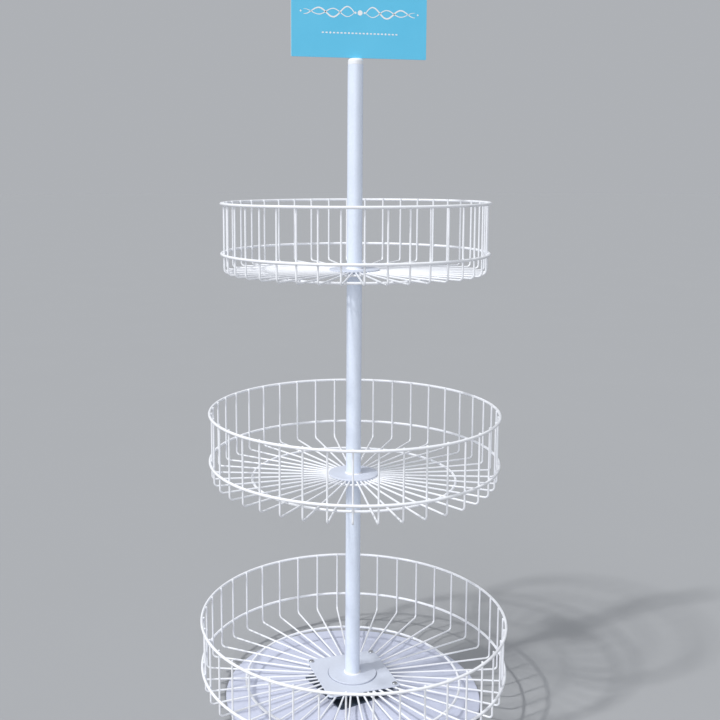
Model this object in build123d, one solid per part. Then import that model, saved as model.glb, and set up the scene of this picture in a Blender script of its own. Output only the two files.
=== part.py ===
from build123d import *
import math
import os

# Rotating display rack: three round wire baskets on one pole, the whole carousel
# turning on a flat ball bearing that is bolted to the raised seat of a round base.
# Millimetres. Origin: centre of the base on the floor. +Z up along the pole.
# The sign's face looks along -Y.

# ---------------------------------------------------------------- dimensions
# base
BASE_R = 278.5            # radius of the pressed base plate
BASE_LOW = 4.0            # lower edge of its turned-down lip, over the floor
BASE_TOP = 10.0           # top of its flat outer ring
BASE_SHEET = 2.5          # sheet thickness
BASE_EDGE = 2.0           # outer rounding of its edge, over 0.5 inside
SEAT_R = 113.0            # raised flat seat of the bearing
SEAT_Z = 22.0
SKIRT_R = 226.0           # where the shallow cone meets the flat outer ring
GLIDE_R = 17.0            # rubber glides under it
GLIDE_H = BASE_TOP - BASE_SHEET
GLIDE_AT = 244.0
GLIDES = 6

# bearing
LOWER_PLATE = 155.0       # side of the square lower plate
UPPER_PLATE = 156.0       # side of the square upper plate
LOWER_T = 3.0
UPPER_T = 2.5
PLATE_CORNER = 7.0
LOWER_TURN = 15.0         # how far the lower plate is turned about Z, degrees
HUB_TURN = 2.7            # the hub plate and upper plate; their screws pass between spokes
BALL_R = 6.0
BALL_COUNT = 18
BALL_PITCH_R = 52.5
GROOVE_R = 6.05           # race groove, 0.05 larger than the ball
RACE_IN_R = 42.5
RACE_OUT_R = 62.5
RACE_H = 6.4              # height of each race
CAGE_T = 2.0
CAGE_IN_R = 44.5
CAGE_OUT_R = 60.5
CAGE_POCKET_R = 6.1

# fasteners
BASE_SCREW_PITCH = 128.0
HUB_SCREW_PITCH = 143.0
PIVOT_R = 5.0
PIVOT_HEAD = 17.0         # across the flats of its head, under the seat
PIVOT_HEAD_H = 6.4
BUSH_OUT_R = 7.0
BUSH_BORE_R = 5.05

# baskets: height of the spokes' centre line, radius of the rim's centre line
WIRE_R = 2.0              # bent wires
HOOP_R = 3.0              # rim and low hoop
FLOOR_RING_R = 2.75       # floor ring rod
INNER_RING_R = 2.5        # inner ring rod
WIRES = 40
SINK = 0.4                # how far a resistance weld sinks two rods together
PLATE_SINK = 0.2          # the same, rod to plate
BEND = 8.0                # centre-line radius where spoke becomes upright
RIM_H = 141.2             # rim centre over spokes
HOOP_H = 38.2             # low hoop centre over spokes
UPRIGHT_TOP = 143.8       # top of the uprights over spokes
TIER_1 = 456.0            # bottom basket to middle basket
TIER_2 = 439.5            # middle basket to top basket
BOTTOM_Z = 45.0           # spokes of the bottom basket
FLOOR_RING_RATIO = 0.709
INNER_RING_AT = 60.5
BASKETS = {               # rim radius, spoke height, clocking in degrees, inner end of the spokes
    "bottom": (329.0, BOTTOM_Z, -1.5, 50.0),
    "middle": (306.0, BOTTOM_Z + TIER_1, 0.4, 40.0),
    "top": (276.0, BOTTOM_Z + TIER_1 + TIER_2, 4.4, 40.0),
}

# hub and pole
HUB_PLATE = 161.0
HUB_PLATE_T = 2.5
HUB_PLATE_BORE_R = 22.0
FOOT_BORE_R = 11.5        # hole in the foot flange, inside the pole, over the pivot's nut
FLANGE_R = 52.5
FLANGE_T = 3.0
POLE_R = 16.0
POLE_WALL = 1.5
SEAM_1 = BOTTOM_Z + 326.7
SEAM_2 = BOTTOM_Z + 811.0
POLE_TOP = BOTTOM_Z + 1316.5
POLE_CHAMFER = 0.5
SLEEVE_WALL = 2.0
SLEEVE_HALF = 50.0
PRESS = 0.02              # radial interference of the press fits
CAP_H = 12.4
CAP_FILLET = 6.0
CAP_PLUG = 34.0

# sign
SIGN_W = 287.0
SIGN_H = 170.0
SIGN_X = 8.5              # the panel hangs a little off centre
SIGN_T = 3.0
SIGN_FRONT_Y = -2.3
SIGN_GAP = 0.6            # above the cap
PAD_T = 0.8
TONGUE_T = 2.0
TONGUE_W = 60.0
TONGUE_UP = 108.0
STEM_W = 20.0
STEM_DOWN = 30.0

# ---------------------------------------------------------------- helpers
os.makedirs("parts", exist_ok=True)


def solids(shape):
    """The solids of a shape as a plain list."""
    return list(shape.solids())


def save(name, shape):
    parts = solids(shape) if not isinstance(shape, list) else [s for p in shape for s in solids(p)]
    out = parts[0] if len(parts) == 1 else Compound(children=parts)
    export_step(out, "parts/" + name + ".step")


def rod(radius, low, high, x=0.0, y=0.0):
    return Pos(x, y, low) * Cylinder(radius, high - low, align=(Align.CENTER, Align.CENTER, Align.MIN))


def disc(radius, low, high, bore=0.0):
    d = rod(radius, low, high)
    return d - rod(bore, low - 1, high + 1) if bore else d


def square_plate(side, corner, low, thick, turn):
    face = RectangleRounded(side, side, corner)
    return Rot(0, 0, turn) * Pos(0, 0, low) * extrude(face, thick)


def corners(pitch, turn):
    """Centres of a square pattern of four, turned about Z."""
    r = pitch / math.sqrt(2)
    return [(r * math.cos(math.radians(45 + turn + 90 * k)), r * math.sin(math.radians(45 + turn + 90 * k))) for k in range(4)]


def hexagon(flats, low, high, x=0.0, y=0.0, turn=0.0):
    face = RegularPolygon(flats / 2, 6, major_radius=False)
    body = extrude(face, high - low)
    # crowned corners
    crown = Cone(flats / 2 * 1.155 + 0.1 + (high - low), flats / 2 * 0.955, high - low + flats / 2 * 0.2,
                 align=(Align.CENTER, Align.CENTER, Align.MAX))
    body = body & (Pos(0, 0, high - low) * crown)
    return Pos(x, y, low) * Rot(0, 0, turn) * body


def pan_screw(x, y, seat, head_r, head_h, shank_r, end, up=True):
    """Pan-head screw with a cross recess, head over the seat, shank down to end."""
    head = rod(head_r, seat, seat + head_h, x, y)
    head = fillet(head.edges().filter_by(GeomType.CIRCLE).group_by(Axis.Z)[-1], head_h * 0.55)
    slot = Pos(x, y, seat + head_h) * (Box(head_r * 1.05, head_r * 0.24, head_h * 0.9) + Box(head_r * 0.24, head_r * 1.05, head_h * 0.9))
    shank = rod(shank_r, end, seat, x, y)
    shank = chamfer(shank.edges().filter_by(GeomType.CIRCLE).group_by(Axis.Z)[0], 0.5)
    return (head - slot) + shank


# ---------------------------------------------------------------- base
def pressed_base():
    """Sheet pressing: raised flat seat, shallow cone, flat outer ring, lip turned down."""
    t = BASE_SHEET
    slope = math.atan2(SEAT_Z - BASE_TOP, SKIRT_R - SEAT_R)
    shift = t * math.tan(slope / 2)
    pts = [(0, SEAT_Z), (SEAT_R, SEAT_Z), (SKIRT_R, BASE_TOP), (BASE_R, BASE_TOP), (BASE_R, BASE_LOW), (BASE_R - t, BASE_LOW),
           (BASE_R - t, BASE_TOP - t), (SKIRT_R - shift, BASE_TOP - t), (SEAT_R - shift, SEAT_Z - t), (0, SEAT_Z - t)]
    face = make_face(Polyline(*[(x, 0, z) for x, z in pts], close=True))

    def at(i):
        return face.vertices().sort_by_distance((pts[i][0], 0, pts[i][1]))[0]

    for i, r in ((1, 60.0), (8, 60.0 - t), (2, 60.0), (7, 60.0 + t), (3, BASE_EDGE + 1.0), (6, 0.5 + 1.0)):
        face = fillet(at(i), r)
    return revolve(face, Axis.Z)


base = pressed_base()
base_pts = corners(BASE_SCREW_PITCH, LOWER_TURN)
seat_low = SEAT_Z - BASE_SHEET
base -= rod(PIVOT_R + 0.2, 0, 60)
for (x, y) in base_pts:
    base -= rod(2.7, 0, 60, x, y)
save("base_plate", base)

glides = []
for k in range(GLIDES):
    a = math.radians(30 + 360.0 / GLIDES * k)
    g = rod(GLIDE_R, 0, GLIDE_H)
    g = fillet(g.edges().filter_by(GeomType.CIRCLE).group_by(Axis.Z)[0], 1.2)
    glides.append(Pos(GLIDE_AT * math.cos(a), GLIDE_AT * math.sin(a), 0) * g)
save("base_glides", glides)

# ---------------------------------------------------------------- bearing
lower_top = SEAT_Z + LOWER_T
upper_top = BOTTOM_Z - WIRE_R - 0.05
upper_low = upper_top - UPPER_T
ball_z = (lower_top + upper_low) / 2


def race(low, high):
    r = disc(RACE_OUT_R, low, high, bore=RACE_IN_R)
    return r - Pos(0, 0, ball_z) * Torus(BALL_PITCH_R, GROOVE_R)


lower = square_plate(LOWER_PLATE, PLATE_CORNER, SEAT_Z, LOWER_T, LOWER_TURN)
lower += race(lower_top, lower_top + RACE_H)
lower -= rod(PIVOT_R + 0.2, 0, 60)
for (x, y) in base_pts:
    lower -= rod(2.8, 0, 60, x, y)
save("bearing_lower_plate", lower)

hub_pts = corners(HUB_SCREW_PITCH, HUB_TURN)
upper = square_plate(UPPER_PLATE, PLATE_CORNER, upper_low, UPPER_T, HUB_TURN)
upper += race(upper_low - RACE_H, upper_low)
upper -= rod(BUSH_OUT_R - PRESS, 0, 60)
for (x, y) in hub_pts:
    upper -= rod(3.3, 0, 60, x, y)
save("bearing_upper_plate", upper)

cage = disc(CAGE_OUT_R, ball_z - CAGE_T / 2, ball_z + CAGE_T / 2, bore=CAGE_IN_R)
balls = []
for k in range(BALL_COUNT):
    a = 2 * math.pi * k / BALL_COUNT
    x, y = BALL_PITCH_R * math.cos(a), BALL_PITCH_R * math.sin(a)
    cage -= rod(CAGE_POCKET_R, ball_z - 5, ball_z + 5, x, y)
    balls.append(Pos(x, y, ball_z) * Sphere(BALL_R))
save("bearing_cage", cage)
save("bearing_balls", balls)

# pivot: bolt up through the seat of the base plate, bush in the upper plate, washer and thin lock nut over it
bush_top = upper_top + 1.5
washer_low = bush_top + 0.1
nut_low = washer_low + 1.5
bolt = rod(PIVOT_R, seat_low - 0.5, nut_low + 5.6)
bolt = chamfer(bolt.edges().filter_by(GeomType.CIRCLE).group_by(Axis.Z)[-1], 0.7)
bolt += Pos(0, 0, seat_low) * Rot(180, 0, 0) * hexagon(PIVOT_HEAD, 0, PIVOT_HEAD_H)
save("pivot_bolt", bolt)
bush = disc(BUSH_OUT_R, upper_low - 3.0, upper_top, bore=BUSH_BORE_R) + disc(11.0, upper_top, bush_top, bore=BUSH_BORE_R)
save("pivot_bush", bush)
save("pivot_washer", disc(11.5, washer_low, nut_low, bore=PIVOT_R + 0.2))
save("pivot_nut", hexagon(16.0, nut_low, nut_low + 4.5) - rod(PIVOT_R - PRESS, 0, 80))

# four screws and nuts that hold the lower plate on the base plate
save("base_screws", [pan_screw(x, y, lower_top, 4.6, 2.6, 2.5, seat_low - 6.0) for (x, y) in base_pts])
save("base_nuts", [Pos(x, y, seat_low) * Rot(180, 0, 0) * hexagon(8.0, 0, 4.0) - rod(2.5 - PRESS, 0, 80, x, y) for (x, y) in base_pts])

# ---------------------------------------------------------------- bottom hub
hub_low = BOTTOM_Z + WIRE_R - PLATE_SINK
hub_top = hub_low + HUB_PLATE_T
hub = square_plate(HUB_PLATE, PLATE_CORNER, hub_low, HUB_PLATE_T, HUB_TURN)
hub = chamfer(hub.edges().group_by(Axis.Z)[-1], 0.4)
hub -= rod(HUB_PLATE_BORE_R, 0, 80)
for (x, y) in hub_pts:
    hub -= rod(3.3, 0, 80, x, y)
save("hub_plate", hub)
save("hub_screws", [pan_screw(x, y, hub_top, 5.6, 3.2, 3.0, upper_low - 6.5) for (x, y) in hub_pts])
save("hub_spacers", [rod(4.5, upper_top, hub_low, x, y) - rod(3.25, 0, 80, x, y) for (x, y) in hub_pts])
save("hub_nuts", [hexagon(10.0, upper_low - 5.0, upper_low, x, y, 10) - rod(3.0 - PRESS, 0, 80, x, y) for (x, y) in hub_pts])

foot_top = hub_top + FLANGE_T
foot = disc(FLANGE_R, hub_top, foot_top)
foot = fillet(foot.edges().filter_by(GeomType.CIRCLE).group_by(Axis.Z)[-1], 0.8)
save("pole_foot_flange", foot - rod(FOOT_BORE_R, 0, 80))

# ---------------------------------------------------------------- pole
def tube(low, high, bottom_chamfer=True, top_chamfer=True):
    t = rod(POLE_R, low, high)
    rings = t.edges().filter_by(GeomType.CIRCLE).group_by(Axis.Z)
    picked = (list(rings[0]) if bottom_chamfer else []) + (list(rings[-1]) if top_chamfer else [])
    if picked:
        t = chamfer(picked, POLE_CHAMFER)
    return t - rod(POLE_R - POLE_WALL, low - 1, high + 1)


save("pole_lower", tube(foot_top, SEAM_1, bottom_chamfer=False))
save("pole_middle", tube(SEAM_1, SEAM_2))
save("pole_upper", tube(SEAM_2, POLE_TOP))
for name, z in (("pole_coupler_lower", SEAM_1), ("pole_coupler_upper", SEAM_2)):
    r = POLE_R - POLE_WALL + PRESS
    save(name, disc(r, z - SLEEVE_HALF, z + SLEEVE_HALF, bore=r - SLEEVE_WALL))

# ---------------------------------------------------------------- baskets
def bent_wire(rim_r, z, inner):
    """Spoke and upright in one bent piece, lying in the XZ plane towards +X."""
    up_r = rim_r - HOOP_R - WIRE_R + SINK
    path = FilletPolyline((inner, 0, z), (up_r, 0, z), (up_r, 0, z + UPRIGHT_TOP), radius=BEND)
    start = Plane(origin=(inner, 0, z), z_dir=(1, 0, 0))
    return sweep(start * Circle(WIRE_R), path=path)


for name, (rim_r, z, clock, inner) in BASKETS.items():
    one = bent_wire(rim_r, z, inner)
    one = one.solids()[0]
    # the cut end of each upright is broken all round
    one = chamfer(one.edges().filter_by(GeomType.CIRCLE).sort_by(Axis.Z)[-1], 0.5).solids()[0]
    # a clocking of 0 puts one wire on -Y
    save(name + "_basket_wires", [Rot(0, 0, -90 + clock + 360.0 / WIRES * k) * one for k in range(WIRES)])
    save(name + "_basket_rim", Pos(0, 0, z + RIM_H) * Torus(rim_r, HOOP_R))
    save(name + "_basket_hoop", Pos(0, 0, z + HOOP_H) * Torus(rim_r, HOOP_R))
    save(name + "_floor_ring", Pos(0, 0, z - WIRE_R - FLOOR_RING_R + SINK) * Torus(rim_r * FLOOR_RING_RATIO, FLOOR_RING_R))
    if name != "bottom":      # the bottom spokes lie between the hub plate and the bearing instead
        save(name + "_inner_ring", Pos(0, 0, z - WIRE_R - INNER_RING_R + SINK) * Torus(INNER_RING_AT, INNER_RING_R))

for name in ("middle", "top"):
    z = BASKETS[name][1] + WIRE_R - PLATE_SINK
    f = disc(FLANGE_R, z, z + FLANGE_T)
    f = fillet(f.edges().filter_by(GeomType.CIRCLE).group_by(Axis.Z)[-1], 0.8)
    save(name + "_hub_flange", f - rod(POLE_R - PRESS, z - 1, z + FLANGE_T + 1))

# ---------------------------------------------------------------- cap and sign
head_top = POLE_TOP + CAP_H
tongue_y = SIGN_FRONT_Y + SIGN_T + PAD_T
head = rod(POLE_R, POLE_TOP, head_top)
head = fillet(head.edges().filter_by(GeomType.CIRCLE).group_by(Axis.Z)[-1], CAP_FILLET)
head = chamfer(head.edges().filter_by(GeomType.CIRCLE).group_by(Axis.Z)[0], POLE_CHAMFER)
plug = rod(POLE_R - POLE_WALL + PRESS, POLE_TOP - CAP_PLUG, POLE_TOP + 1)
plug = chamfer(plug.edges().filter_by(GeomType.CIRCLE).group_by(Axis.Z)[0], 1.0)
cap = head + plug
cap -= Pos(0, tongue_y + TONGUE_T / 2, head_top - STEM_DOWN / 2 + 0.5) * Box(STEM_W - 2 * PRESS, TONGUE_T - 2 * PRESS, STEM_DOWN + 1)
save("pole_cap", cap)

sign_low = head_top + SIGN_GAP
panel = extrude(Plane.XZ * RectangleRounded(SIGN_W, SIGN_H, 2.0), SIGN_T)
box = panel.bounding_box()
panel = Pos(SIGN_X - (box.min.X + box.max.X) / 2, SIGN_FRONT_Y - box.min.Y, sign_low - box.min.Z) * panel
panel = chamfer(panel.faces().sort_by(Axis.Y)[0].edges(), 0.3)
save("sign_panel", panel)

plate_low = head_top + 4.0
tongue = Pos(0, tongue_y + TONGUE_T / 2, plate_low + TONGUE_UP / 2) * Box(TONGUE_W, TONGUE_T, TONGUE_UP)
tongue = fillet(tongue.edges().filter_by(Axis.Y), 5.0)
stem = Pos(0, tongue_y + TONGUE_T / 2, (plate_low + 10 + head_top - STEM_DOWN) / 2) * Box(STEM_W, TONGUE_T, plate_low + 10 - head_top + STEM_DOWN)
save("sign_tongue", tongue + stem)

pads = [Pos(0, tongue_y - PAD_T / 2, plate_low + h) * Box(46, PAD_T, 34) for h in (26, 86)]
save("sign_pads", pads)
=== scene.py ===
import math
import random

import bmesh
import bpy
from mathutils import Matrix, Vector, noise


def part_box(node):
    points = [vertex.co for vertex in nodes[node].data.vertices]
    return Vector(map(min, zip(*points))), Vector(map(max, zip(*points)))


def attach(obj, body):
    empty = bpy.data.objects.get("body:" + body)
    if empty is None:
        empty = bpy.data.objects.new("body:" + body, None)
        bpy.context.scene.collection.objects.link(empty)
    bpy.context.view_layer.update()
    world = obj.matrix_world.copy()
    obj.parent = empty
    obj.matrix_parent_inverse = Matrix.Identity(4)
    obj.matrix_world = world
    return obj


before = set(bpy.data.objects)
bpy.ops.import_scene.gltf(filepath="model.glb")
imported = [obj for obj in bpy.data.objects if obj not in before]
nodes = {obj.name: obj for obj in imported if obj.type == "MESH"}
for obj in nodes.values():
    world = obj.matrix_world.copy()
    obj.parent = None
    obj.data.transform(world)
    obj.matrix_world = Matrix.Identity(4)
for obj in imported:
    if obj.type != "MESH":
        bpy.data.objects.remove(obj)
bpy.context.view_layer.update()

# ------------------------------------------------------------------ numbers
MM = 0.001
WIRES = 40
WIRE_R = 2.0 * MM
CLOCK = {"bottom": -1.5, "middle": 0.4, "top": 4.4}     # degrees, 0 is towards -Y
TIERS = ("bottom", "middle", "top")


def centre_radius(node, rod):
    """Centre-line radius and height of a ring node."""
    lo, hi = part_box(node)
    return (hi.x - lo.x) / 2 - rod, (hi.z + lo.z) / 2


def spoke_angle(tier, k):
    """Angle from +X of wire k."""
    return math.radians(-90 + CLOCK[tier] + 360 / WIRES * k)


# ------------------------------------------------------------------ materials
def new_material(name):
    m = bpy.data.materials.new(name)
    m.use_nodes = True
    nt = m.node_tree
    nt.nodes.clear()
    out = nt.nodes.new("ShaderNodeOutputMaterial")
    sh = nt.nodes.new("ShaderNodeBsdfPrincipled")
    nt.links.new(sh.outputs["BSDF"], out.inputs["Surface"])
    return m, nt, sh


def coords(nt, scale=(1, 1, 1)):
    tc = nt.nodes.new("ShaderNodeTexCoord")
    mp = nt.nodes.new("ShaderNodeMapping")
    mp.inputs["Scale"].default_value = scale
    nt.links.new(tc.outputs["Object"], mp.inputs["Vector"])
    return mp.outputs["Vector"]


def noise_tex(nt, vec, scale, detail=2.0, rough=0.5, distortion=0.0):
    n = nt.nodes.new("ShaderNodeTexNoise")
    n.inputs["Scale"].default_value = scale
    n.inputs["Detail"].default_value = detail
    n.inputs["Roughness"].default_value = rough
    n.inputs["Distortion"].default_value = distortion
    nt.links.new(vec, n.inputs["Vector"])
    return n.outputs["Fac"]


def ramp(nt, fac, stops):
    r = nt.nodes.new("ShaderNodeValToRGB")
    e = r.color_ramp.elements
    while len(e) > 1:
        e.remove(e[-1])
    e[0].position, e[0].color = stops[0][0], (*stops[0][1], 1)
    for p, c in stops[1:]:
        x = e.new(p)
        x.color = (*c, 1)
    nt.links.new(fac, r.inputs["Fac"])
    return r.outputs["Color"]


def remap(nt, fac, lo, hi, a=0.0, b=1.0):
    r = nt.nodes.new("ShaderNodeMapRange")
    r.inputs["From Min"].default_value, r.inputs["From Max"].default_value = a, b
    r.inputs["To Min"].default_value, r.inputs["To Max"].default_value = lo, hi
    nt.links.new(fac, r.inputs["Value"])
    return r.outputs["Result"]


def mix(nt, fac, a, b, blend="MIX"):
    m = nt.nodes.new("ShaderNodeMix")
    m.data_type, m.blend_type = "RGBA", blend
    for sock, v in ((0, fac), (6, a), (7, b)):
        if hasattr(v, "is_linked") or hasattr(v, "links"):
            nt.links.new(v, m.inputs[sock])
        elif isinstance(v, (int, float)):
            m.inputs[sock].default_value = v
        else:
            m.inputs[sock].default_value = (*v, 1)
    return m.outputs[2]


def math_node(nt, op, a, b=0.0, c=0.0):
    m = nt.nodes.new("ShaderNodeMath")
    m.operation = op
    for i, v in enumerate((a, b, c)):
        if hasattr(v, "links"):
            nt.links.new(v, m.inputs[i])
        else:
            m.inputs[i].default_value = v
    return m.outputs[0]


def bump(nt, sh, height, strength, distance, after=None):
    b = nt.nodes.new("ShaderNodeBump")
    b.inputs["Strength"].default_value = strength
    b.inputs["Distance"].default_value = distance
    nt.links.new(height, b.inputs["Height"])
    if after is not None:
        nt.links.new(after, b.inputs["Normal"])
    nt.links.new(b.outputs["Normal"], sh.inputs["Normal"])
    return b.outputs["Normal"]


def scaled(c, k):
    return tuple(x * k for x in c)


def powder_coat(name, colour, rough=(0.34, 0.44), mottle=0.025, peel=0.12):
    """Satin powder coat: fine orange peel, faint mottling and fine speckle."""
    m, nt, sh = new_material(name)
    v = coords(nt)
    broad = noise_tex(nt, v, 9.0, 3.0)
    fine = noise_tex(nt, v, 160.0, 2.0)
    c = ramp(nt, broad, [(0.30, scaled(colour, 1 - mottle * 1.6)), (0.52, colour), (0.75, scaled(colour, 1 + mottle * 0.6))])
    dust = ramp(nt, fine, [(0.40, (0.955, 0.955, 0.960)), (0.62, (1, 1, 1))])
    c = mix(nt, 0.6, c, dust, "MULTIPLY")
    nt.links.new(c, sh.inputs["Base Color"])
    r = math_node(nt, "ADD", remap(nt, broad, rough[0], rough[1], 0.3, 0.7), remap(nt, fine, -0.03, 0.03, 0.3, 0.7))
    nt.links.new(r, sh.inputs["Roughness"])
    sh.inputs["Metallic"].default_value = 0.0
    sh.inputs["Specular IOR Level"].default_value = 0.5
    sh.inputs["Coat Weight"].default_value = 0.12
    sh.inputs["Coat Roughness"].default_value = 0.22
    peel_h = noise_tex(nt, v, 520.0, 1.5, 0.45, 0.2)
    grain = noise_tex(nt, v, 1500.0, 1.0)
    n = bump(nt, sh, peel_h, peel, 0.0004)
    bump(nt, sh, grain, peel * 0.4, 0.00012, n)
    return m


def flange_contact_shadow_ring(m, radius, half_width, dark):
    """A thin ring of painted contact shadow where a round flange stands on the plate."""
    nt = m.node_tree
    sh = next(n for n in nt.nodes if n.type == "BSDF_PRINCIPLED")
    base = sh.inputs["Base Color"].links[0].from_socket
    length = nt.nodes.new("ShaderNodeVectorMath")
    length.operation = "LENGTH"
    nt.links.new(coords(nt, (1, 1, 0)), length.inputs[0])
    across = remap(nt, length.outputs["Value"], 0.0, 1.0, radius - half_width, radius + half_width)
    shadow_line = ramp(nt, across, [(0.0, (1, 1, 1)), (0.35, dark), (0.65, dark), (1.0, (1, 1, 1))])
    nt.links.new(mix(nt, 1.0, base, shadow_line, "MULTIPLY"), sh.inputs["Base Color"])
    return m


def metal(name, colour, rough=(0.25, 0.4), metallic=1.0, streak=None, scale=220.0):
    m, nt, sh = new_material(name)
    v = coords(nt, streak or (1, 1, 1))
    n1 = noise_tex(nt, v, scale, 3.0)
    n2 = noise_tex(nt, coords(nt), 30.0, 3.0)
    c = ramp(nt, n2, [(0.3, scaled(colour, 0.82)), (0.7, scaled(colour, 1.08))])
    nt.links.new(c, sh.inputs["Base Color"])
    nt.links.new(remap(nt, n1, rough[0], rough[1], 0.3, 0.7), sh.inputs["Roughness"])
    sh.inputs["Metallic"].default_value = metallic
    bump(nt, sh, n1, 0.10, 0.0002)
    return m


def plastic(name, colour, rough=(0.3, 0.4), grain=0.10, scale=600.0, mottle=0.03):
    m, nt, sh = new_material(name)
    v = coords(nt)
    n1 = noise_tex(nt, v, scale, 2.0)
    n2 = noise_tex(nt, v, 18.0, 3.0)
    nt.links.new(ramp(nt, n2, [(0.3, scaled(colour, 1 - mottle)), (0.7, scaled(colour, 1 + mottle))]), sh.inputs["Base Color"])
    nt.links.new(remap(nt, n2, rough[0], rough[1], 0.3, 0.7), sh.inputs["Roughness"])
    bump(nt, sh, n1, grain, 0.0002)
    return m


WHITE = (0.87, 0.885, 0.925)
# COOL is the same white coat tinted bluer for the pole: painted cool shade colour.
COOL = (0.76, 0.83, 0.96)
mat_wire = powder_coat("powder_coat_wire", WHITE, rough=(0.30, 0.40))
mat_pole = powder_coat("powder_coat_pole", COOL, rough=(0.30, 0.42), peel=0.16)
mat_plate = powder_coat("powder_coat_plate", (0.63, 0.67, 0.77), rough=(0.36, 0.48), mottle=0.035, peel=0.16)
# The hub plate carries a painted contact shadow: a dark ring darkens the plate just outside the flange's edge.
mat_hub = flange_contact_shadow_ring(powder_coat("powder_coat_hub", (0.63, 0.67, 0.77), rough=(0.36, 0.48), mottle=0.035, peel=0.16), 53.1 * MM, 1.5 * MM, (0.40, 0.41, 0.46))
mat_base = powder_coat("powder_coat_base", (0.61, 0.64, 0.77), rough=(0.38, 0.52), mottle=0.045, peel=0.18)
mat_weld = powder_coat("powder_coat_weld", scaled(WHITE, 0.99), rough=(0.36, 0.50), mottle=0.04, peel=0.30)
mat_black = metal("black_zinc", (0.060, 0.080, 0.112), rough=(0.30, 0.46), metallic=0.35)
mat_zinc = metal("bright_zinc", (0.62, 0.63, 0.65), rough=(0.20, 0.36))
mat_steel = metal("ball_steel", (0.70, 0.70, 0.72), rough=(0.06, 0.14), scale=80)
mat_nylon = plastic("nylon", (0.74, 0.72, 0.66), rough=(0.42, 0.55))
mat_rubber = plastic("glide_rubber", (0.035, 0.035, 0.038), rough=(0.62, 0.78), grain=0.3, scale=900)
mat_cap = plastic("cap_plastic", WHITE, rough=(0.26, 0.34), grain=0.06)
mat_foam = plastic("foam_tape", (0.70, 0.70, 0.68), rough=(0.8, 0.92), grain=0.5, scale=1500)


SIGN_BLUE_LOW = (0.140, 0.615, 0.905)
SIGN_BLUE_HIGH = (0.153, 0.640, 0.930)


def sign_material():
    """Printed board: blue film on the front, white core on the edges and the back, told apart by depth in the board."""
    m, nt, sh = new_material("sign_print")
    lo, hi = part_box("sign_panel")
    tc = nt.nodes.new("ShaderNodeTexCoord")
    sep = nt.nodes.new("ShaderNodeSeparateXYZ")
    nt.links.new(tc.outputs["Object"], sep.inputs["Vector"])
    v = tc.outputs["Object"]
    front = math_node(nt, "LESS_THAN", sep.outputs["Y"], lo.y + 0.00035)
    grain = noise_tex(nt, v, 1400.0, 1.0)
    broad = noise_tex(nt, v, 7.0, 2.0)
    blue = ramp(nt, broad, [(0.35, SIGN_BLUE_LOW), (0.65, SIGN_BLUE_HIGH)])
    blue = mix(nt, 0.5, blue, ramp(nt, grain, [(0.35, (0.95, 0.95, 0.95)), (0.65, (1, 1, 1))]), "MULTIPLY")
    core = ramp(nt, noise_tex(nt, v, 300.0, 2.0), [(0.3, (0.70, 0.71, 0.72)), (0.7, (0.78, 0.79, 0.80))])
    nt.links.new(mix(nt, front, core, blue), sh.inputs["Base Color"])
    nt.links.new(remap(nt, noise_tex(nt, v, 60.0, 2.0), 0.38, 0.48, 0.3, 0.7), sh.inputs["Roughness"])
    sh.inputs["Specular IOR Level"].default_value = 0.35
    bump(nt, sh, grain, 0.05, 0.0001)
    return m


mat_sign = sign_material()
mat_ink = plastic("ink_white", (0.965, 0.975, 0.98), rough=(0.35, 0.45), grain=0.05, scale=1500, mottle=0.015)

ASSIGN = {
    "base_plate": mat_base, "base_glides": mat_rubber, "bearing_lower_plate": mat_black,
    "base_screws": mat_black, "base_nuts": mat_zinc, "pivot_bolt": mat_zinc, "pivot_washer": mat_zinc, "pivot_nut": mat_zinc,
    "pivot_bush": mat_nylon, "bearing_cage": mat_nylon, "bearing_balls": mat_steel,
    "bearing_upper_plate": mat_black, "hub_plate": mat_hub, "hub_screws": mat_zinc, "hub_nuts": mat_zinc,
    "hub_spacers": mat_zinc, "pole_foot_flange": mat_plate, "middle_hub_flange": mat_plate,
    "top_hub_flange": mat_plate, "pole_lower": mat_pole, "pole_middle": mat_pole, "pole_upper": mat_pole,
    "pole_coupler_lower": mat_zinc, "pole_coupler_upper": mat_zinc, "pole_cap": mat_cap,
    "sign_tongue": mat_plate, "sign_pads": mat_foam, "sign_panel": mat_sign,
}
for name, obj in nodes.items():
    mat = ASSIGN.get(name, mat_wire)
    if not obj.material_slots:
        obj.data.materials.append(mat)
    for s in obj.material_slots:
        s.material = mat


def finish_piece(name, bm, mat, body, smooth=True):
    me = bpy.data.meshes.new(name)
    bm.normal_update()
    bm.to_mesh(me)
    bm.free()
    for p in me.polygons:
        p.use_smooth = smooth
    ob = bpy.data.objects.new(name, me)
    bpy.context.scene.collection.objects.link(ob)
    me.materials.append(mat)
    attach(ob, body)
    return ob


def add_nugget(bm, at, axes, size, seed, rough=0.16):
    """A weld nugget: a lumpy pad around the contact of two rods. axes are three unit vectors, size the half lengths."""
    made = bmesh.ops.create_icosphere(bm, subdivisions=2, radius=1.0)["verts"]
    for v in made:
        p = v.co.copy()
        n = noise.noise(p * 1.7 + Vector((seed * 3.1, seed * 1.7, seed * 0.9)))
        p = p * (1 + rough * n)
        v.co = at + axes[0] * (p.x * size[0]) + axes[1] * (p.y * size[1]) + axes[2] * (p.z * size[2])


def polar(r, a, z):
    return Vector((r * math.cos(a), r * math.sin(a), z))


def frame_at(a):
    return Vector((math.cos(a), math.sin(a), 0)), Vector((-math.sin(a), math.cos(a), 0)), Vector((0, 0, 1))


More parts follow.
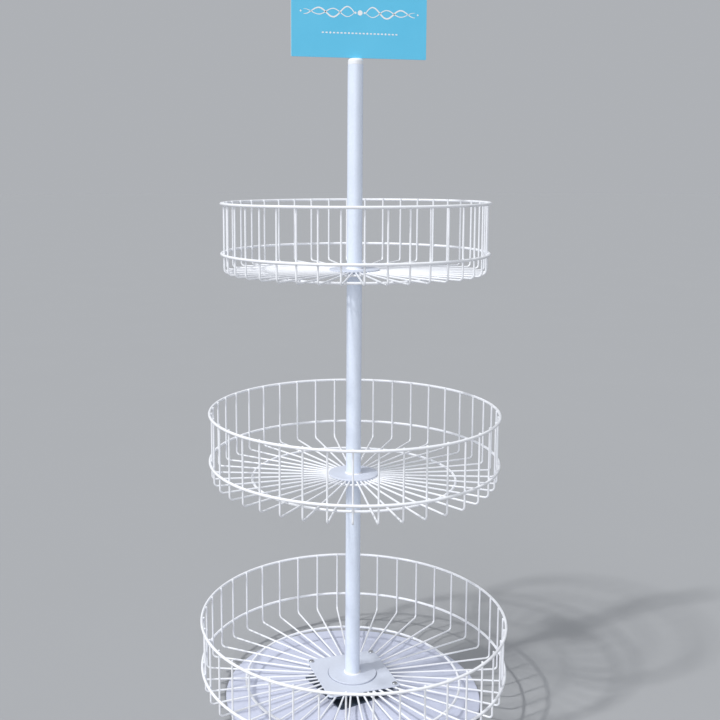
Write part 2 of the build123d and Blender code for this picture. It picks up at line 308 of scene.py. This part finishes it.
# ------------------------------------------------------------------ resistance welds at each crossing
rng = random.Random(41)
UP = Vector((0, 0, 1))
for tier in TIERS:
    rim_r, rim_z = centre_radius(tier + "_basket_rim", 3.0 * MM)
    hoop_r, hoop_z = centre_radius(tier + "_basket_hoop", 3.0 * MM)
    ring_r, ring_z = centre_radius(tier + "_floor_ring", 2.75 * MM)
    spec = [
        ("rim", rim_r - 2.9 * MM, rim_z, "side", 3.0),
        ("hoop", hoop_r - 2.9 * MM, hoop_z, "side", 3.0),
        ("floor_ring", ring_r, ring_z + 2.6 * MM, "flat", 2.75),
    ]
    if tier + "_inner_ring" in nodes:
        inner_r, inner_z = centre_radius(tier + "_inner_ring", 2.5 * MM)
        spec.append(("inner_ring", inner_r, inner_z + 2.35 * MM, "flat", 2.5))
    for what, r, z, kind, rod in spec:
        bm = bmesh.new()
        for k in range(WIRES):
            a = spoke_angle(tier, k)
            radial, along, up = frame_at(a)
            at = polar(r, a, z)
            j = [rng.uniform(0.85, 1.2) for _ in range(3)]
            if kind == "side":      # contact between an upright and a ring outside it
                size = (1.25 * MM * j[0], 2.15 * MM * j[1], 2.5 * MM * j[2])
            else:                   # contact between a spoke and a ring under it
                size = (2.4 * MM * j[0], 2.1 * MM * j[1], 1.15 * MM * j[2])
            add_nugget(bm, at, (radial, along, up), size, rng.random() * 50)
        finish_piece(f"{tier}_{what}_welds", bm, mat_weld, "carousel")

# ------------------------------------------------------------------ butt welds that close the rings
for tier in TIERS:
    bm = bmesh.new()
    for i, (node, rod) in enumerate(((tier + "_basket_rim", 3.0 * MM), (tier + "_basket_hoop", 3.0 * MM), (tier + "_floor_ring", 2.75 * MM))):
        r, z = centre_radius(node, rod)
        a0 = math.radians(-90 + CLOCK[tier] + 4.5 + 9 * (17 + 5 * i))
        radial, along, up = frame_at(a0)
        rows = []
        for s in range(9):
            t = (s - 4) / 4
            swell = 0.45 * MM * math.cos(t * math.pi / 2) ** 2
            d = t * 4.5 * MM
            a = a0 + d / r
            ra, _, _ = frame_at(a)
            row = []
            for q in range(20):
                w = 2 * math.pi * q / 20
                lump = 1 + 0.25 * noise.noise(Vector((math.cos(w) * 2, math.sin(w) * 2, t * 2 + i * 7 + r * 40)))
                rad = rod + (swell * lump if 0 < s < 8 else -0.15 * MM)
                row.append(bm.verts.new(ra * (r + rad * math.cos(w)) + up * (z + rad * math.sin(w))))
            rows.append(row)
        for s in range(8):
            for q in range(20):
                bm.faces.new((rows[s][q], rows[s][(q + 1) % 20], rows[s + 1][(q + 1) % 20], rows[s + 1][q]))
        bm.faces.new(rows[0])
        bm.faces.new(list(reversed(rows[-1])))
    bmesh.ops.recalc_face_normals(bm, faces=bm.faces)
    finish_piece(tier + "_ring_butt_welds", bm, mat_weld, "carousel")


# ------------------------------------------------------------------ fillet welds round the pole
def weld_bead(name, z, leg, seed, under=False):
    """Fillet weld round the pole on a flange face at z: a rippled fillet, leg long each way."""
    pole_r = (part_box("pole_middle")[1].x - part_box("pole_middle")[0].x) / 2
    bm = bmesh.new()
    n, m = 168, 8
    rows = []
    for i in range(n):
        a = 2 * math.pi * i / n
        rip = 1 + 0.07 * math.sin(a * 34 + 0.8 * math.sin(a * 3)) + 0.12 * noise.noise(Vector((math.cos(a) * 2.3, math.sin(a) * 2.3, seed)))
        L = leg * rip
        row = []
        for q in range(m + 1):
            t = q / m * math.pi / 2
            # slightly hollow fillet from the flange face up to the pole's side
            rr = pole_r + L * (1 - math.sin(t)) ** 1.15 + 0.05 * MM
            hh = L * (1 - math.cos(t)) ** 1.15
            row.append(bm.verts.new(polar(rr, a, z + (-hh if under else hh))))
        row.append(bm.verts.new(polar(pole_r - 0.3 * MM, a, z + (-L * 0.98 if under else L * 0.98))))
        row.append(bm.verts.new(polar(pole_r - 0.3 * MM, a, z + (0.3 * MM if under else -0.3 * MM))))
        row.append(bm.verts.new(polar(pole_r + L, a, z + (0.3 * MM if under else -0.3 * MM))))
        rows.append(row)
    w = len(rows[0])
    for i in range(n):
        for q in range(w):
            bm.faces.new((rows[i][q], rows[(i + 1) % n][q], rows[(i + 1) % n][(q + 1) % w], rows[i][(q + 1) % w]))
    bmesh.ops.recalc_face_normals(bm, faces=bm.faces)
    return finish_piece(name, bm, mat_weld, "carousel")


weld_bead("pole_foot_weld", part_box("pole_foot_flange")[1].z, 2.6 * MM, 1.3)
weld_bead("middle_hub_weld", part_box("middle_hub_flange")[1].z, 2.2 * MM, 7.1)
weld_bead("top_hub_weld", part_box("top_hub_flange")[1].z, 2.2 * MM, 11.9)

# ------------------------------------------------------------------ sign print: a plain ornament, no lettering
lo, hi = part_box("sign_panel")
FRONT = lo.y
CX = (lo.x + hi.x) / 2
PRINT_Y = FRONT - 0.00012


def ribbon(bm, points, widths):
    """A flat printed stroke along points (x, z) with a width at each one."""
    left, right = [], []
    for i, (x, z) in enumerate(points):
        p0 = Vector(points[max(0, i - 1)])
        p1 = Vector(points[min(len(points) - 1, i + 1)])
        d = (p1 - p0).normalized()
        n = Vector((-d.y, d.x)) * widths[i] / 2
        left.append(bm.verts.new((x + n.x, PRINT_Y, z + n.y)))
        right.append(bm.verts.new((x - n.x, PRINT_Y, z - n.y)))
    for i in range(len(points) - 1):
        bm.faces.new((left[i], left[i + 1], right[i + 1], right[i]))


def dot(bm, x, z, r, squash=1.0, n=20):
    ring = [bm.verts.new((x + r * math.cos(2 * math.pi * k / n), PRINT_Y, z + squash * r * math.sin(2 * math.pi * k / n))) for k in range(n)]
    bm.faces.new(ring)


bm = bmesh.new()
mid = lo.z + (hi.z - lo.z) * 0.525
half = 0.118
# two mirrored wave strokes that meet in a small knot, tapered at the ends
for side in (-1, 1):
    for phase, amp, wid in ((0.0, 0.0125, 0.0030), (math.pi, 0.0088, 0.0019)):
        pts, ws = [], []
        steps = 110
        for i in range(steps + 1):
            t = i / steps
            x = CX + side * (0.012 + t * (half - 0.012))
            z = mid + amp * math.sin(phase + t * 3.5 * math.pi) * (1 - 0.55 * t)
            pts.append((x, z))
            ws.append(wid * (0.25 + 0.75 * math.sin(math.pi * min(1, 0.06 + t * 0.94)) ** 0.6))
        ribbon(bm, pts, ws)
dot(bm, CX, mid, 0.0052)
for side in (-1, 1):
    dot(bm, CX + side * 0.0098, mid, 0.0022)
    dot(bm, CX + side * (half + 0.006), mid, 0.0018)
# a row of short dashes under it
row_z = lo.z + (hi.z - lo.z) * 0.287
count = 21
for k in range(count):
    x = CX + (k - (count - 1) / 2) * 0.0078
    if k % 5 == 2:
        dot(bm, x, row_z, 0.0020)
    else:
        ribbon(bm, [(x - 0.0022, row_z), (x + 0.0022, row_z)], [0.0026, 0.0026])
bmesh.ops.recalc_face_normals(bm, faces=bm.faces)
for f in bm.faces:
    if f.normal.y > 0:
        f.normal_flip()
ornament = finish_piece("sign_ornament", bm, mat_ink, "carousel", smooth=False)

# ------------------------------------------------------------------ floor and light
AIR = (0.425, 0.440, 0.465)
LIGHTS = (                # name, azimuth, elevation, strength, angular size, colour
    ("key", -76, 56, 1.72, 3.0, (1.0, 0.995, 0.985)),
    ("key_soft", -66, 46, 0.65, 42, (1.0, 1.0, 1.0)),
    ("front", -28, 20, 1.00, 50, (1.0, 1.0, 1.0)),
    ("rim", 120, 35, 0.10, 50, (0.92, 0.95, 1.0)),
)
# The floor's albedo makes its lit colour equal to the plain studio background's, so no horizon shows.
FLOOR = tuple(AIR[i] / (AIR[i] + sum(L[3] * math.sin(math.radians(L[2])) * L[5][i] for L in LIGHTS) / math.pi) for i in range(3))


def floor():
    bm = bmesh.new()
    bmesh.ops.create_circle(bm, cap_ends=True, cap_tris=False, segments=128, radius=60.0)
    me = bpy.data.meshes.new("floor")
    bm.to_mesh(me)
    bm.free()
    ob = bpy.data.objects.new("floor", me)
    bpy.context.scene.collection.objects.link(ob)
    m, nt, sh = new_material("floor_paint")
    v = coords(nt)
    n = noise_tex(nt, v, 2.0, 4.0)
    nt.links.new(ramp(nt, n, [(0.3, scaled(FLOOR, 0.996)), (0.7, scaled(FLOOR, 1.004))]), sh.inputs["Base Color"])
    sh.inputs["Roughness"].default_value = 0.9
    sh.inputs["Specular IOR Level"].default_value = 0.0
    me.materials.append(m)
    return ob


floor()

world = bpy.data.worlds.new("studio")
bpy.context.scene.world = world
world.use_nodes = True
bg = world.node_tree.nodes["Background"]
bg.inputs["Color"].default_value = (*AIR, 1)
bg.inputs["Strength"].default_value = 1.0


def soft_sun(name, azimuth, elevation, strength, angle, colour=(1, 1, 1)):
    """A distant soft box. Azimuth 0 stands at -Y and counts towards +X, in degrees."""
    d = bpy.data.lights.new(name, "SUN")
    d.energy = strength
    d.angle = math.radians(angle)
    d.color = colour
    o = bpy.data.objects.new(name, d)
    a, e = math.radians(azimuth), math.radians(elevation)
    way = Vector((math.sin(a) * math.cos(e), -math.cos(a) * math.cos(e), math.sin(e)))
    o.location = way * 6
    o.rotation_euler = (-way).to_track_quat("-Z", "Y").to_euler()
    bpy.context.scene.collection.objects.link(o)
    return o


for light in LIGHTS:
    soft_sun(*light)

# ------------------------------------------------------------------ camera
CAM_F = 956.14            # focal length in pixels of a 720 pixel frame
CAM_CX, CAM_CY = 300.0, 298.8
CAM_D, CAM_H = 1.9924, 1.1454 - 0.051 + 0.045
CAM_YAW, CAM_PITCH, CAM_ROLL = 0.05714, 0.12874, 0.00211
CAM_AZ = math.radians(-17.5)
cy, sy = math.cos(CAM_YAW), math.sin(CAM_YAW)
cp, sp = math.cos(CAM_PITCH), math.sin(CAM_PITCH)
cr, sr = math.cos(CAM_ROLL), math.sin(CAM_ROLL)
Rz = Matrix(((cy, -sy, 0), (sy, cy, 0), (0, 0, 1)))
Rx = Matrix(((1, 0, 0), (0, cp, sp), (0, -sp, cp)))
Ry = Matrix(((cr, 0, sr), (0, 1, 0), (-sr, 0, cr)))
R = Rz @ Rx @ Ry
turn = Matrix.Rotation(CAM_AZ, 3, "Z")
R = turn @ R
right, fwd, up = R.col[0], R.col[1], R.col[2]
pos = turn @ Vector((0, -CAM_D, CAM_H))
cam_data = bpy.data.cameras.new("camera")
cam_data.sensor_width = 36.0
cam_data.lens = CAM_F / 720 * 36
cam_data.shift_x = (360 - CAM_CX) / 720
cam_data.shift_y = -(360 - CAM_CY) / 720
cam_data.clip_start, cam_data.clip_end = 0.05, 120
cam = bpy.data.objects.new("camera", cam_data)
bpy.context.scene.collection.objects.link(cam)
cam.matrix_world = Matrix((
    (right.x, up.x, -fwd.x, pos.x),
    (right.y, up.y, -fwd.y, pos.y),
    (right.z, up.z, -fwd.z, pos.z),
    (0, 0, 0, 1)))
bpy.context.scene.camera = cam
bpy.context.scene.view_settings.view_transform = "Standard"
